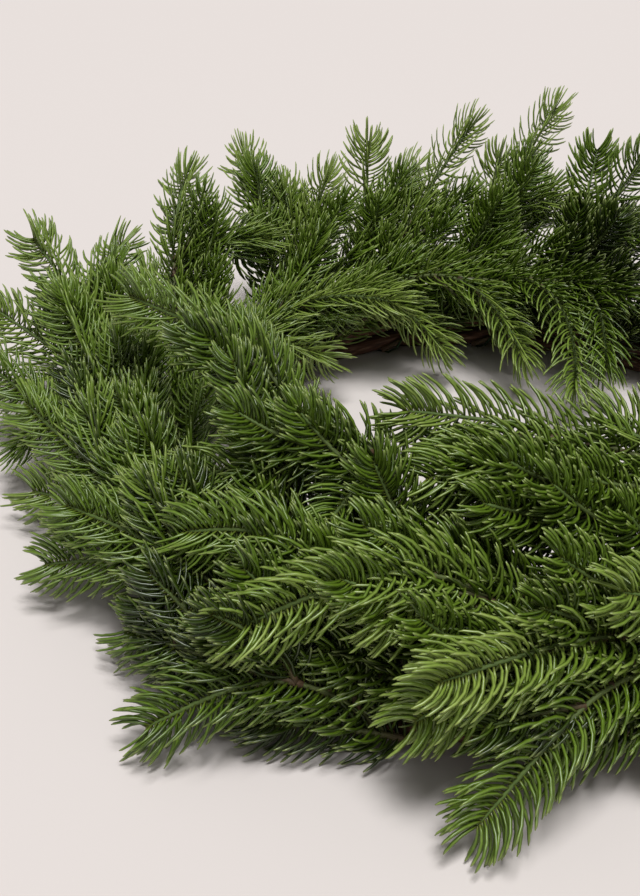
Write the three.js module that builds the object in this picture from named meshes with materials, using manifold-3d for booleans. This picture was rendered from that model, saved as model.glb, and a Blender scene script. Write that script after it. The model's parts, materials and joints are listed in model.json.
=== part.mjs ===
// An evergreen wreath lying flat: cut fir branches bound with wire onto a ring of
// three twisted twigs. Millimetres, +Z up, resting on z = 0 round the origin.
import * as THREE from "three";
import Module from "manifold-3d";

const wasm = await Module();
wasm.setup();

// Twig ring.
const RING_RADIUS = 212;
const TWIG_RADIUS = 5.5;
const TWIG_GAP = 0.7;
const TWIG_SIDES = 6;
const TWIG_TWISTS = 6;
const TWIG_STEPS = 54;
const FLAT_DEPTH = 0.35;

// Binding wire.
const WIRE_RADIUS = 0.7;
const WIRE_SIDES = 3;
const WIRE_STEPS_PER_TURN = 12;
const WIRE_OFFSET = 11.9;
const WIRE_OVER_BUTTS = 6.5;
const WIRE_INTO_GROOVE = 3.7;

// Branches: bound at even stations, all laid the same way round the ring.
const STATIONS = 18;
const BUTT_LENGTH = 26;
const SEATS = {
  outer: { angle: 0, offset: 14.1 },
  top: { angle: 90, offset: 9.0 },
  inner: { angle: 180, offset: 14.3 },
};
const BUTT_STEPS = 4;
const BUTT_TAPER = 6;
const ROUTE_STEPS = 40;
const STEM_RADIUS = 2.0;
const TIP_RADIUS = 1.1;
const BUD_LENGTH = 13;
const BARE_LENGTH = 38;
const TIP_LENGTH = 12;
const SIDE_BARE_LENGTH = 14;
const FORK_AT = 0.36;
const FORK_BEND = 0.4;

// Needles: whorls of six, each raised from a facet of its three-sided stem, with
// three that stand out and three that lean forwards.
const NEEDLE_LENGTH = 20;
const NEEDLE_VARIATION = 0.2;
const NEEDLE_ROOT = 4;
const WHORL_PITCH = 26;
const WHORL_TURN = 73;
const NEEDLE_LEANS = [72, 42];
const TIP_LEANS = [34, 20];
const TIP_ZONE = 0.3;
const TIP_SHORTER = 0.2;
const NEEDLE_HALF_WIDTH = 1.7;
const NEEDLE_POINT = 0.1;
const CLEAR = 0.45;
const STEM_CLEAR = 0.8;
const FLOOR_CLEAR = 0.6;
const SEARCH_CELL = 25;
const SEARCH_MARGIN = 5;

// Stems spring apart until they lie about this far from each other. A stem is held
// at its butt and moves freely further out.
const STEM_SPACING = 17;
const BUTT_SPACING = 7;
const FORK_SPACING = 0.6;
const SPRING_ROUNDS = 60;
const PAIR_PUSH = 0.25;
const REST_PUSH = 0.5;
const HELD_LENGTH = 4;
const FREEING_LENGTH = 50;
const LOWEST_STEM = 8.5;
const STEM_OFF_WIRE = 4;

const RAD = Math.PI / 180;
const TWIG_OFFSET = (2 * TWIG_RADIUS + TWIG_GAP) / Math.sqrt(3);
const FLAT_TO_AXIS = TWIG_OFFSET + TWIG_RADIUS * Math.cos(Math.PI / TWIG_SIDES);
const RING_HEIGHT = FLAT_TO_AXIS - FLAT_DEPTH;
const TWIG_PHASE = -90;
const WIRE_PHASE = 90;

// Even scatter between 0 and 1, the same every time.
const scatter = (n) => (n * 0.61803398875 + 0.37) % 1;

// A point from its angle round the ring in degrees, its radius and its height.
const onRing = (angle, radius, height) =>
  new THREE.Vector3(radius * Math.cos(angle * RAD), radius * Math.sin(angle * RAD), height);

// Branches as they lie: [station, seat, leader tip, side shoot's tip]. A tip is
// [degrees ahead of the station, radius, height]; a leader may add how far it
// arches up and sways outwards on its way.
const FRONT_BRANCHES = [
  [320, "outer", [40, 248, 40, 20, -6], [54, 238, 16]],
  [320, "top", [46, 232, 110, 14], [40, 244, 70]],
  [320, "inner", [36, 121, 130, 30, -14], [83, 134, 130]],
  [300, "outer", [39, 284, 14, 56]],
  [300, "top", [44, 264, 78, 34], [46, 258, 46]],
  [300, "inner", [53, 160, 110, 60, -34], [50, 160, 88]],
  [280, "outer", [47, 254, 14, 28, -8], [24, 236, 40]],
  [280, "top", [47, 258, 64, 60, -12], [33, 234, 78]],
  [280, "inner", [33, 204, 98, 30, -8], [22, 166, 56]],
  [260, "outer", [32, 292, 14, 34, 3], [46, 256, 16]],
  [260, "top", [42, 230, 76, 44, -10], [28, 234, 48]],
  [260, "inner", [56, 238, 60, 78, -62], [25, 186, 86]],
  [240, "outer", [40, 281, 22, 34, -8], [43, 264, 44]],
  [240, "top", [40, 264, 56, 20], [32, 218, 90]],
  [240, "inner", [66, 224, 130, 52, -58]],
];
const LEFT_BRANCHES = [
  [220, "outer", [36, 286, 20, 20, -8], [27, 260, 20]],
  [220, "top", [44, 292, 60, 16], [36, 240, 84]],
  [220, "inner", [46, 168, 76, 20]],
  [200, "outer", [34, 338, 52, 10], [22, 304, 26]],
  [200, "top", [40, 294, 96, 8], [34, 240, 88]],
  [200, "inner", [44, 178, 60, 24]],
  [180, "outer", [21, 358, 72, 6], [12, 326, 34]],
  [180, "top", [26, 340, 116], [36, 302, 98]],
  [180, "inner", [51, 158, 30, 40]],
  [160, "outer", [20, 318, 66]],
  [160, "top", [26, 290, 140, 28, 20], [34, 238, 92]],
  [160, "inner", [52, 164, 60, 30]],
];
const BACK_BRANCHES = [
  [140, "outer", [20, 336, 126], [27, 300, 78]],
  [140, "top", [28, 270, 124], [20, 278, 118]],
  [140, "inner", [43, 140, 26, 46]],
  [120, "outer", [15, 284, 142], [24, 304, 108]],
  [120, "top", [32, 302, 144], [24, 262, 100]],
  [120, "inner", [46, 124, 28, 50]],
  [100, "outer", [17, 286, 128], [24, 306, 72]],
  [100, "top", [23, 326, 152], [30, 260, 96]],
  [100, "inner", [47, 100, 28, 50]],
  [80, "outer", [10, 282, 138], [22, 296, 84]],
  [80, "top", [18, 274, 140], [27, 234, 94]],
  [80, "inner", [29, 136, 30, 48], [27, 178, 68]],
];
const RIGHT_STATIONS = [60, 40, 20, 0, 340];

// On the right the branches follow the same habit, each a little different.
function rightBranches() {
  return RIGHT_STATIONS.flatMap((station, i) => {
    const vary = (k, span) => Math.round((scatter(7 * i + k) - 0.5) * span);
    return [
      [station, "outer", [30 + vary(1, 12), 308 + vary(2, 40), 44 + vary(3, 56), 6],
        [22 + vary(4, 8), 282 + vary(5, 20), 20]],
      [station, "top", [30 + vary(6, 14), 278 + vary(7, 40), 116 + vary(8, 34)],
        [32 + vary(9, 8), 234 + vary(10, 24), 88 + vary(11, 20)]],
      [station, "inner", [44 + vary(12, 10), 144 + vary(13, 24), 50 + vary(14, 50), 40]],
    ];
  });
}

// ---------------------------------------------------------------- stem routes

// The leader: its butt lies on the twigs and winds with them under the wire, and
// from there it leaves the ring in one long bend.
function leaderRoute(station, seat, tip) {
  const [ahead, radius, height, arch = 0, sway = 0] = tip;
  const { angle, offset } = SEATS[seat];
  const middle = station + (angle - WIRE_PHASE) / STATIONS;
  const halfButt = BUTT_LENGTH / 2 / RING_RADIUS / RAD;
  const points = [];
  for (let i = 0; i <= BUTT_STEPS; i++) {
    const along = halfButt * (1 - 2 * i / BUTT_STEPS);
    const around = (angle + TWIG_TWISTS * along) * RAD;
    points.push(onRing(
      middle + along,
      RING_RADIUS + offset * Math.cos(around),
      RING_HEIGHT + offset * Math.sin(around),
    ));
  }
  const from = middle - halfButt;
  const exit = points[BUTT_STEPS];
  const exitRadius = Math.hypot(exit.x, exit.y);
  const reach = from - (station - ahead);
  for (let i = 1; i <= ROUTE_STEPS; i++) {
    const u = i / ROUTE_STEPS;
    const bow = Math.sin(Math.PI * u);
    points.push(onRing(
      from - reach * u,
      exitRadius + (radius - exitRadius) * u ** 2 + sway * bow,
      exit.z + (height - exit.z) * u ** 1.2 + arch * bow,
    ));
  }
  return new THREE.CatmullRomCurve3(points);
}

// A side shoot: leaves the leader along its own direction and bends to its tip.
function sideRoute(leader, at, station, tip) {
  const from = leader.getPointAt(at);
  const to = onRing(station - tip[0], tip[1], tip[2]);
  const lead = leader.getTangentAt(at).multiplyScalar(from.distanceTo(to) * FORK_BEND);
  return new THREE.QuadraticBezierCurve3(from, from.clone().add(lead), to);
}

// Points along a route where its rings go: bare wood, then a short step for each
// whorl of needles and a longer one between whorls. The last needles and the bud reach
// over the rest of the route.
function ringStops(length, bare, firstStops) {
  const needled = length - TIP_LENGTH - bare - NEEDLE_ROOT;
  const whorls = Math.max(3, Math.round(needled / WHORL_PITCH) + 1);
  const pitch = needled / (whorls - 1);
  const stops = [...firstStops];
  for (let i = 0; i < whorls; i++) {
    stops.push(bare + i * pitch, bare + i * pitch + NEEDLE_ROOT);
  }
  return stops.map((s) => s / length);
}

// A stem: where its rings lie, how thick it is there and how freely it springs. Its
// butt has six sides at the first hexStops rings and three from there on.
function makeStem(route, bare, firstStops, hexStops, branch) {
  const length = route.getLength();
  const stops = ringStops(length, bare, firstStops);
  const points = stops.map((u) => route.getPointAt(Math.min(u, 1)));
  return {
    branch,
    length,
    hexStops,
    points,
    stops,
    bareStops: firstStops.length,
    free: stops.map((u) => u * length - (hexStops ? BUTT_LENGTH : 0)),
    shift: points.map(() => new THREE.Vector3()),
    radii: stops.map((u) => STEM_RADIUS + (TIP_RADIUS - STEM_RADIUS) * u),
  };
}

function layStems() {
  const stems = [];
  const branches = [...FRONT_BRANCHES, ...LEFT_BRANCHES, ...BACK_BRANCHES, ...rightBranches()];
  branches.forEach(([station, seat, leaderTip, sideTip], branch) => {
    const route = leaderRoute(station, seat, leaderTip);
    const buttStops = [0, BUTT_LENGTH - BUTT_TAPER, BUTT_LENGTH];
    const leader = makeStem(route, BARE_LENGTH, buttStops, 2, branch);
    leader.name = `${seat}_branch_${station}`;
    stems.push(leader);
    if (!sideTip) return;
    const whorls = (leader.points.length - leader.bareStops) / 2;
    const fork = leader.bareStops + 2 * Math.round(FORK_AT * whorls);
    const branching = sideRoute(route, leader.stops[fork], station, sideTip);
    const side = makeStem(branching, SIDE_BARE_LENGTH, [0], 0, branch);
    side.parent = leader;
    side.fork = fork;
    stems.push(side);
  });
  return stems;
}

// How freely a stem moves at a distance from its butt, from 0 to 1.
const freedom = (distance) =>
  THREE.MathUtils.clamp((distance - HELD_LENGTH) / FREEING_LENGTH, 0, 1);

// Distance from the ring's centre line, as a vector from its nearest point.
function fromRing(point) {
  const angle = Math.atan2(point.y, point.x) / RAD;
  return point.clone().sub(onRing(angle, RING_RADIUS, RING_HEIGHT));
}

// Stems spring apart, off the wire and off the ground, each staying smooth.
function springApart(stems) {
  const overWire = WIRE_OFFSET + WIRE_OVER_BUTTS + WIRE_RADIUS;
  const keepOffRing = overWire + STEM_RADIUS + STEM_OFF_WIRE;
  for (let round = 0; round < SPRING_ROUNDS; round++) {
    const nodes = stems.flatMap((stem, s) => stem.points.map((point, i) => ({
      stem, s, i, place: point.clone().add(stem.shift[i]), push: new THREE.Vector3(),
    })));
    for (let a = 0; a < nodes.length; a++) {
      for (let b = a + 1; b < nodes.length; b++) {
        springPair(nodes[a], nodes[b]);
      }
    }
    for (const node of nodes) {
      const free = freedom(node.stem.free[node.i]);
      if (!node.stem.parent || node.i > 2) {
        const off = fromRing(node.place);
        const wanted = keepOffRing * free;
        if (off.length() < wanted) {
          node.push.addScaledVector(off.normalize(), (wanted - off.length()) * REST_PUSH);
        }
      }
      node.push.z += Math.max(LOWEST_STEM - node.place.z, 0) * REST_PUSH;
      node.stem.shift[node.i].addScaledVector(node.push, free);
    }
    stems.forEach(smoothShift);
  }
  for (const stem of stems) {
    stem.points.forEach((point, i) => point.add(stem.shift[i]));
  }
}

function springPair(a, b) {
  if (a.s === b.s) return;
  const reach = Math.min(freedom(a.stem.free[a.i]), freedom(b.stem.free[b.i]));
  const sameBranch = a.stem.branch === b.stem.branch;
  const spacing = THREE.MathUtils.lerp(BUTT_SPACING, STEM_SPACING, reach);
  const wanted = sameBranch ? FORK_SPACING * spacing : spacing;
  const gap = a.place.clone().sub(b.place);
  const distance = gap.length();
  if (distance >= wanted || distance < 1e-6) return;
  gap.multiplyScalar(PAIR_PUSH * (wanted - distance) / distance);
  a.push.add(gap);
  b.push.sub(gap);
}

function smoothShift(stem) {
  const before = stem.shift.map((v) => v.clone());
  const last = before.length - 1;
  if (stem.parent) {
    before[0].copy(stem.parent.shift[stem.fork]);
    stem.shift[0].copy(before[0]);
  }
  for (let i = 1; i <= last; i++) {
    const beside = before[i - 1].clone().add(before[Math.min(i + 1, last)]);
    stem.shift[i].multiplyScalar(0.5).addScaledVector(beside, 0.25);
  }
}

// ---------------------------------------------------------------- stem surface

// Turns a frame along the stem without twist, then sets a ring of points in it.
function layRings(stem) {
  const { points } = stem;
  const last = points.length - 1;
  let normal = new THREE.Vector3(0, 0, 1);
  stem.tangents = points.map((_, i) =>
    points[Math.min(i + 1, last)].clone().sub(points[Math.max(i - 1, 0)]).normalize());
  stem.rings = points.map((point, i) => {
    const tangent = stem.tangents[i];
    normal = normal.clone().addScaledVector(tangent, -normal.dot(tangent)).normalize();
    const across = tangent.clone().cross(normal);
    const sides = i < stem.hexStops ? 6 : 3;
    const turn = Math.max(i - stem.hexStops, 0) * WHORL_TURN;
    return Array.from({ length: sides }, (_, k) => {
      const angle = (turn + k * 360 / sides) * RAD;
      return point.clone()
        .addScaledVector(normal, stem.radii[i] * Math.cos(angle))
        .addScaledVector(across, stem.radii[i] * Math.sin(angle));
    });
  });
}

// Facets that carry a needle: all six on each whorl's short step.
function needleFacets(stem) {
  const facets = [];
  for (let i = stem.bareStops; i + 1 < stem.rings.length; i += 2) {
    const low = stem.rings[i];
    const high = stem.rings[i + 1];
    for (let k = 0; k < 3; k++) {
      const next = (k + 1) % 3;
      facets.push({ stem, ring: i, k, row: 0, corners: [low[k], low[next], high[k]] });
      facets.push({ stem, ring: i, k, row: 1, corners: [low[next], high[next], high[k]] });
    }
  }
  return facets;
}

// ---------------------------------------------------------------- clear needles

// Shortest distance between two segments, less their thickness where they are closest.
function clearance(a, b) {
  const u = a.to.clone().sub(a.from);
  const v = b.to.clone().sub(b.from);
  const w = a.from.clone().sub(b.from);
  const uu = u.dot(u);
  const vv = v.dot(v);
  const uv = u.dot(v);
  const uw = u.dot(w);
  const vw = v.dot(w);
  const cross = uu * vv - uv * uv;
  let s = cross > 1e-9 ? THREE.MathUtils.clamp((uv * vw - vv * uw) / cross, 0, 1) : 0;
  const t = THREE.MathUtils.clamp((uv * s + vw) / vv, 0, 1);
  s = THREE.MathUtils.clamp((uv * t - uw) / uu, 0, 1);
  const gap = w.addScaledVector(u, s).addScaledVector(v, -t).length();
  return gap - thickness(a, s) - thickness(b, t);
}

const thickness = (line, at) => line.root + (line.end - line.root) * at;

// A coarse grid that finds the lines near a new one.
class NearbyLines {
  constructor(cell) {
    this.cell = cell;
    this.cells = new Map();
  }

  keys(line, margin) {
    const low = line.from.clone().min(line.to).subScalar(margin).divideScalar(this.cell).floor();
    const high = line.from.clone().max(line.to).addScalar(margin).divideScalar(this.cell).floor();
    const keys = [];
    for (let x = low.x; x <= high.x; x++) {
      for (let y = low.y; y <= high.y; y++) {
        for (let z = low.z; z <= high.z; z++) keys.push(`${x},${y},${z}`);
      }
    }
    return keys;
  }

  add(line) {
    for (const key of this.keys(line, 0)) {
      if (!this.cells.has(key)) this.cells.set(key, []);
      this.cells.get(key).push(line);
    }
  }

  near(line) {
    return new Set(this.keys(line, SEARCH_MARGIN).flatMap((key) => this.cells.get(key) ?? []));
  }
}

// Ways to set a needle that would cross something: leaning further forward or
// turned aside.
const SWING_TURNS = [0, 16, -16, 32, -32];
const SWINGS = [1, 0.82, 0.62, 0.44].flatMap((lean) => SWING_TURNS.map((turn) => ({ lean, turn })));

function growNeedles(stems) {
  const lines = new NearbyLines(SEARCH_CELL);
  for (const stem of stems) {
    for (let i = 0; i + 1 < stem.points.length; i++) {
      lines.add({
        from: stem.points[i], to: stem.points[i + 1], stem, ring: i,
        root: stem.radii[i] + STEM_CLEAR, end: stem.radii[i + 1] + STEM_CLEAR,
      });
    }
  }
  wireLines().forEach((line) => lines.add(line));
  const facets = stems.flatMap(needleFacets);
  const fromTip = (facet) => facet.stem.rings.length - facet.ring;
  facets.sort((a, b) => fromTip(a) - fromTip(b));
  facets.forEach((facet, index) => {
    const ways = SWINGS.map((swing) => needleLine(facet, index, swing));
    const line = ways.find((way) => isClear(way, lines));
    if (!line) return;
    lines.add(line);
    facet.stem.raised.set(`${facet.ring},${facet.k},${facet.row}`, line.to);
  });
}

function needleLine(facet, index, swing) {
  const { stem, ring, row, corners } = facet;
  const along = (ring - stem.bareStops) / (stem.rings.length - stem.bareStops - 2);
  const tangent = stem.tangents[ring];
  const from = corners[0].clone().add(corners[1]).add(corners[2]).divideScalar(3);
  const out = from.clone().sub(stem.points[ring]);
  out.addScaledVector(tangent, -out.dot(tangent)).normalize();
  out.applyAxisAngle(tangent, swing.turn * RAD);
  const towardsTip = Math.max((along - 1 + TIP_ZONE) / TIP_ZONE, 0);
  const leaning = THREE.MathUtils.lerp(NEEDLE_LEANS[row], TIP_LEANS[row], towardsTip);
  const lean = leaning * swing.lean * RAD;
  const varied = 1 + NEEDLE_VARIATION * (scatter(index) - 0.5);
  const length = NEEDLE_LENGTH * (1 - TIP_SHORTER * towardsTip) * varied;
  const to = from.clone().addScaledVector(out, length * Math.sin(lean))
    .addScaledVector(tangent, length * Math.cos(lean));
  return { from, to, stem, ring, root: NEEDLE_HALF_WIDTH, end: NEEDLE_POINT };
}

function isClear(line, lines) {
  if (line.to.z < FLOOR_CLEAR) return false;
  for (const at of [0, 0.2, 0.4, 0.6, 0.8, 1]) {
    const keepOffRing = TWIG_OFFSET + TWIG_RADIUS + CLEAR + thickness(line, at);
    if (fromRing(line.from.clone().lerp(line.to, at)).length() < keepOffRing) return false;
  }
  for (const other of lines.near(line)) {
    const ownRoot = other.stem === line.stem && Math.abs(other.ring - line.ring) < 2;
    if (!ownRoot && clearance(line, other) < CLEAR) return false;
  }
  return true;
}

// ---------------------------------------------------------------- closed meshes

// Collects corner points and triangles, facing outwards, into a solid.
class Shell {
  constructor() {
    this.corners = [];
    this.triangles = [];
  }

  put(point) {
    this.corners.push(point);
    return this.corners.length - 1;
  }

  face(...loop) {
    for (let i = 1; i + 1 < loop.length; i++) this.triangles.push(loop[0], loop[i], loop[i + 1]);
  }

  solid() {
    return new wasm.Manifold(new wasm.Mesh({
      numProp: 3,
      vertProperties: new Float32Array(this.corners.flatMap((p) => [p.x, p.y, p.z])),
      triVerts: new Uint32Array(this.triangles),
    }));
  }
}

function geometryOf(solid) {
  const mesh = solid.getMesh();
  const geometry = new THREE.BufferGeometry();
  const corners = new Float32Array(mesh.vertProperties);
  geometry.setAttribute("position", new THREE.BufferAttribute(corners, 3));
  geometry.setIndex(new THREE.BufferAttribute(new Uint32Array(mesh.triVerts), 1));
  geometry.computeVertexNormals();
  return geometry;
}

// The stem's skin, with each clear facet drawn out to its needle's point.
function stemSolid(stem) {
  const shell = new Shell();
  const ids = stem.rings.map((ring) => ring.map((point) => shell.put(point)));
  shell.face(...[...ids[0]].reverse());
  for (let i = 0; i + 1 < ids.length; i++) {
    const low = ids[i];
    const high = ids[i + 1];
    const n = low.length;
    for (let k = 0; k < n; k++) {
      const next = (k + 1) % n;
      if (high.length < n) {
        const half = Math.floor(k / 2);
        shell.face(low[k], low[next], high[k % 2 ? (half + 1) % 3 : half]);
        if (k % 2) shell.face(low[k], high[(half + 1) % 3], high[half]);
        continue;
      }
      raiseFacet(shell, [low[k], low[next], high[k]], stem.raised.get(`${i},${k},0`));
      raiseFacet(shell, [low[next], high[next], high[k]], stem.raised.get(`${i},${k},1`));
    }
  }
  const last = ids.length - 1;
  const beyond = stem.points[last].clone().addScaledVector(stem.tangents[last], BUD_LENGTH);
  const bud = shell.put(beyond);
  for (let k = 0; k < 3; k++) shell.face(ids[last][k], ids[last][(k + 1) % 3], bud);
  return shell.solid();
}

// A facet as it is, or drawn out to the point of its needle.
function raiseFacet(shell, corners, point) {
  if (!point) {
    shell.face(...corners);
    return;
  }
  const tip = shell.put(point);
  for (let k = 0; k < 3; k++) shell.face(corners[k], corners[(k + 1) % 3], tip);
}

// A closed tube round the ring; section(t) gives its loop of points at turn t.
function ringTube(steps, sides, section) {
  const shell = new Shell();
  for (let i = 0; i < steps; i++) section(i / steps).forEach((point) => shell.put(point));
  for (let i = 0; i < steps; i++) {
    const here = i * sides;
    const there = ((i + 1) % steps) * sides;
    for (let k = 0; k < sides; k++) {
      const next = (k + 1) % sides;
      shell.face(here + k, here + next, there + next, there + k);
    }
  }
  return shell.solid();
}

// ---------------------------------------------------------------- the pieces

// One of the twigs twisted into the ring, trimmed flat where it touches the ground.
function twigSolid(index) {
  const tube = ringTube(TWIG_STEPS, TWIG_SIDES, (t) => {
    const twist = (360 * (TWIG_TWISTS * t + index / 3) + TWIG_PHASE) * RAD;
    const radius = RING_RADIUS + TWIG_OFFSET * Math.cos(twist);
    const height = RING_HEIGHT + TWIG_OFFSET * Math.sin(twist);
    return Array.from({ length: TWIG_SIDES }, (_, k) => {
      const angle = (k + 0.5) * 360 / TWIG_SIDES * RAD;
      const outwards = TWIG_RADIUS * Math.cos(angle);
      const upwards = TWIG_RADIUS * Math.sin(angle);
      return onRing(360 * t, radius + outwards, height - upwards);
    });
  });
  const ground = wasm.Manifold.cube([3 * RING_RADIUS, 3 * RING_RADIUS, TWIG_RADIUS], true);
  return tube.subtract(ground.translate([0, 0, -TWIG_RADIUS / 2]));
}

// The wire's way: one turn at each station, out over the butts at both sides and into
// the groove between two twigs below.
function wirePoint(t) {
  const around = (360 * STATIONS * t + WIRE_PHASE) * RAD;
  const offset = WIRE_OFFSET + WIRE_OVER_BUTTS * Math.cos(around) ** 4
    - WIRE_INTO_GROOVE * Math.max(-Math.sin(around), 0) ** 6;
  const radius = RING_RADIUS + offset * Math.cos(around);
  return onRing(360 * t, radius, RING_HEIGHT + offset * Math.sin(around));
}

function wireLines() {
  const steps = STATIONS * WIRE_STEPS_PER_TURN;
  return Array.from({ length: steps }, (_, i) => ({
    from: wirePoint(i / steps),
    to: wirePoint((i + 1) / steps),
    root: WIRE_RADIUS,
    end: WIRE_RADIUS,
  }));
}

function wireSolid() {
  return ringTube(STATIONS * WIRE_STEPS_PER_TURN, WIRE_SIDES, (t) => {
    const centre = wirePoint(t);
    const outwards = fromRing(centre).normalize();
    const along = onRing(360 * t + 90, 1, 0);
    return Array.from({ length: WIRE_SIDES }, (_, k) => {
      const angle = k * 360 / WIRE_SIDES * RAD;
      return centre.clone()
        .addScaledVector(along, WIRE_RADIUS * Math.cos(angle))
        .addScaledVector(outwards, -WIRE_RADIUS * Math.sin(angle));
    });
  });
}

const FINISHES = {
  twig: { color: 0x5a3322, roughness: 0.85, metalness: 0 },
  wire: { color: 0x2f4a2c, roughness: 0.45, metalness: 0.8 },
  foliage: { color: 0x3f6b2c, roughness: 0.5, metalness: 0 },
};

const wreath = new THREE.Group();

function addPiece(name, solid, finish) {
  const material = new THREE.MeshStandardMaterial(FINISHES[finish]);
  const mesh = new THREE.Mesh(geometryOf(solid), material);
  mesh.name = name;
  wreath.add(mesh);
}

for (let i = 0; i < 3; i++) addPiece(`ring_twig_${i + 1}`, twigSolid(i), "twig");
addPiece("binding_wire", wireSolid(), "wire");

const stems = layStems();
springApart(stems);
for (const stem of stems) {
  stem.raised = new Map();
  layRings(stem);
}
growNeedles(stems);
for (const leader of stems.filter((stem) => !stem.parent)) {
  let solid = stemSolid(leader);
  for (const side of stems.filter((stem) => stem.parent === leader)) {
    solid = solid.add(stemSolid(side));
  }
  addPiece(leader.name, solid, "foliage");
}

// The origin lies under the middle of the wreath.
const box = new THREE.Box3().setFromObject(wreath);
wreath.position.set(-(box.min.x + box.max.x) / 2, -(box.min.y + box.max.y) / 2, 0);

export default wreath;
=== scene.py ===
import json
import math

import bpy
import numpy as np
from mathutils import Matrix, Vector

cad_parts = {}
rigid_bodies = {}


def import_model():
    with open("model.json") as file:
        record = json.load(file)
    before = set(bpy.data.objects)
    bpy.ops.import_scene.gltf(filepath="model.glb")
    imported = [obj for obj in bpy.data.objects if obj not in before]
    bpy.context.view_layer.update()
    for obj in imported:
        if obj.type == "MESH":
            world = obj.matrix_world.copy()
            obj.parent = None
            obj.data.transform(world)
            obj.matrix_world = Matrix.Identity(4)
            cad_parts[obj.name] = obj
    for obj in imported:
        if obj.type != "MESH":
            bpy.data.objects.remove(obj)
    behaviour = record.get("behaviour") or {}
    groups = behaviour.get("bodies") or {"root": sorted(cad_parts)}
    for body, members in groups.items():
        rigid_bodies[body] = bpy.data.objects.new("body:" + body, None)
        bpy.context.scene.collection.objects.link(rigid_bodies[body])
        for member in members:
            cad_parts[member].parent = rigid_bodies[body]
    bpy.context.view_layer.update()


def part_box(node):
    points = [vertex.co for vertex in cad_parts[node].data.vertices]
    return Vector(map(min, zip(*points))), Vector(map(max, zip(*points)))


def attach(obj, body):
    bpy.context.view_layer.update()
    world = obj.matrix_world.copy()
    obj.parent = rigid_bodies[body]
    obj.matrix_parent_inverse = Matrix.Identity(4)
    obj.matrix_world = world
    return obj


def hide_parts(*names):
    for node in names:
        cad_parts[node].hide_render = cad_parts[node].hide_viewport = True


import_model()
bpy.ops.object.select_all(action="DESELECT")

# ---------------------------------------------------------------- the twig ring
# Three long bare twigs, pencil thick, soaked and twisted round each other until they
# close into a ring. Their red-brown bark is furrowed lengthwise and has cut knots.
RING_RADIUS = 0.212
TWIG_RADIUS = 0.0055
TWIG_GAP = 0.0007
TWIG_TWISTS = 6
TWIG_CORNERS = 6
FLAT_DEPTH = 0.00035
TWIG_SECTIONS = 540
TWIG_SIDES = 18
TWIG_SEED = 40
TWIG_NAMES = ["ring_twig_1", "ring_twig_2", "ring_twig_3"]
TWIG_OFFSET = (2 * TWIG_RADIUS + TWIG_GAP) / math.sqrt(3)
RING_HEIGHT = TWIG_OFFSET + TWIG_RADIUS * math.cos(math.pi / TWIG_CORNERS) - FLAT_DEPTH
RING_CENTRE = (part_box("ring_twig_1")[0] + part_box("ring_twig_1")[1]) / 2
FURROW_WAVES = 5
FURROW_DEPTH = 0.00035
FURROW_WANDER = 1.4
FURROW_LUMPS = 0.5
BARK_INSET = 0.00025
BARK_HIGHEST = 0.0006
KNOTS_PER_TWIG = 9
KNOT_HEIGHT = 0.0012
KNOT_LENGTH = 0.006
KNOT_WIDTH = 0.6

BARK_DARK = (0.035, 0.016, 0.010, 1)
BARK_BROWN = (0.150, 0.062, 0.034, 1)
BARK_PALE = (0.330, 0.190, 0.120, 1)


def new_material(name):
    """An empty node material with its shader, for the section's own nodes."""
    material = bpy.data.materials.new(name)
    material.use_nodes = True
    nodes = material.node_tree.nodes
    shader = nodes["Principled BSDF"]
    return material, nodes, material.node_tree.links, shader


def colour_steps(nodes, steps):
    """A colour ramp through (place, colour) steps."""
    ramp = nodes.new("ShaderNodeValToRGB")
    elements = ramp.color_ramp.elements
    while len(elements) < len(steps):
        elements.new(0.5)
    for element, (place, colour) in zip(elements, steps):
        element.position = place
        element.color = colour
    return ramp


def grain_group():
    """Uneven grain that follows a piece's own UV map, drawn out across or along it."""
    group = bpy.data.node_groups.new("grain", "ShaderNodeTree")
    for name in ("Across", "Along"):
        group.interface.new_socket(name, in_out="INPUT", socket_type="NodeSocketFloat")
    group.interface.new_socket("Grain", in_out="OUTPUT", socket_type="NodeSocketFloat")
    given = group.nodes.new("NodeGroupInput")
    result = group.nodes.new("NodeGroupOutput")
    uv_map = group.nodes.new("ShaderNodeUVMap")
    uv_map.uv_map = "OFBake"
    scale = group.nodes.new("ShaderNodeCombineXYZ")
    stretch = group.nodes.new("ShaderNodeVectorMath")
    stretch.operation = "MULTIPLY"
    noise = group.nodes.new("ShaderNodeTexNoise")
    noise.inputs["Scale"].default_value = 1
    noise.inputs["Detail"].default_value = 4
    group.links.new(given.outputs["Across"], scale.inputs["X"])
    group.links.new(given.outputs["Along"], scale.inputs["Y"])
    group.links.new(uv_map.outputs["UV"], stretch.inputs[0])
    group.links.new(scale.outputs["Vector"], stretch.inputs[1])
    group.links.new(stretch.outputs["Vector"], noise.inputs["Vector"])
    group.links.new(noise.outputs["Fac"], result.inputs["Grain"])
    return group


def add_grain(nodes, across, along):
    """The grain group placed in a material, with so many grains across and along."""
    grain = nodes.new("ShaderNodeGroup")
    grain.node_tree = grain_nodes
    grain.inputs["Across"].default_value = across
    grain.inputs["Along"].default_value = along
    return grain


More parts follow.
